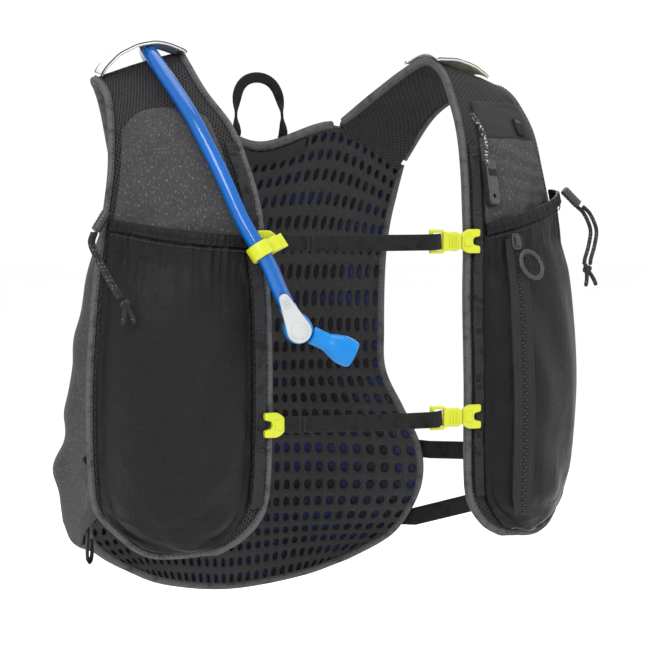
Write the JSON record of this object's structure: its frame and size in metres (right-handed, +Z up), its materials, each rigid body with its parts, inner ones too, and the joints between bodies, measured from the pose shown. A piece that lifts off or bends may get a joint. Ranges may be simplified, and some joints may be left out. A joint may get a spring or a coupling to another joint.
{
  "type": "running hydration vest",
  "caption": "Running hydration vest in its worn shape: ventilated back with a slim pack and bladder, padded front panels with flask pockets, clipped chest straps, drinking tube with bite valve.",
  "frame": {"origin": "where the vest sits, midway between the shoulders", "axes": "+Z up along the wearer, the wearer faces -Y, +X to the right as seen from the front"},
  "size_m": [0.349, 0.2857, 0.368],
  "materials": {
    "mesh": "matt",
    "binding": "matt",
    "ripstop": "satin",
    "heather": "matt",
    "webbing": "matt",
    "reflective": "satin",
    "yellow": "satin",
    "hose": "gloss",
    "valve": "satin",
    "lever": "satin",
    "bladder": "gloss",
    "trim": "satin",
    "flap": "matt"
  },
  "bodies": {
    "vest": {"back_mesh": "mesh", "back_binding": "binding", "neck_binding": "binding", "back_shell": "heather", "reservoir": "bladder", "neck_patch": "flap", "grab_loop": "webbing", "strap_right": "mesh", "strap_left": "mesh", "strap_binding_right": "binding", "strap_binding_left": "binding", "chest_panel_left": "heather", "chest_panel_right": "heather", "chest_flap": "flap", "flask_pocket_right": "ripstop", "flask_pocket_left": "ripstop", "pocket_hem_right": "ripstop", "pocket_hem_left": "ripstop", "ladder_tape_right": "webbing", "ladder_tape_left": "webbing", "tube_loop_right": "reflective", "tube_loop_left": "reflective", "clasp_hook_left_upper": "yellow", "clasp_hook_right_upper": "yellow", "clasp_hook_left_lower": "yellow", "clasp_hook_right_lower": "yellow", "buckle_upper": "yellow", "buckle_lower": "yellow", "chest_strap_upper": "webbing", "chest_strap_lower": "webbing", "side_strap_left_upper": "webbing", "side_strap_left_lower": "webbing", "side_strap_right_upper": "webbing", "side_strap_right_lower": "webbing", "strap_tail_left": "webbing", "drink_hose": "hose", "hose_clip": "yellow", "valve_elbow": "valve", "bite_sleeve": "valve", "drawcord_left_front": "trim", "drawcord_left_rear": "trim", "drawcord_right_front": "trim", "drawcord_right_rear": "trim", "cordlock_left": "trim", "cordlock_right": "trim", "cord_end_left": "trim", "cord_end_right": "trim", "pocket_zip": "trim", "zip_slider": "trim", "zip_pull": "trim", "whistle": "trim", "whistle_lanyard": "reflective", "pull_tab": "webbing"},
    "lever": {"shutoff_lever": "lever"}
  },
  "joints": [
    {"name": "lever_turn", "type": "hinge", "parent": "vest", "child": "lever", "pos_m": [-0.06082, -0.11354, -0.16074], "axis": [0.3425, 0.9312, 0.1247], "range_deg": [0, 90]}
  ]
}
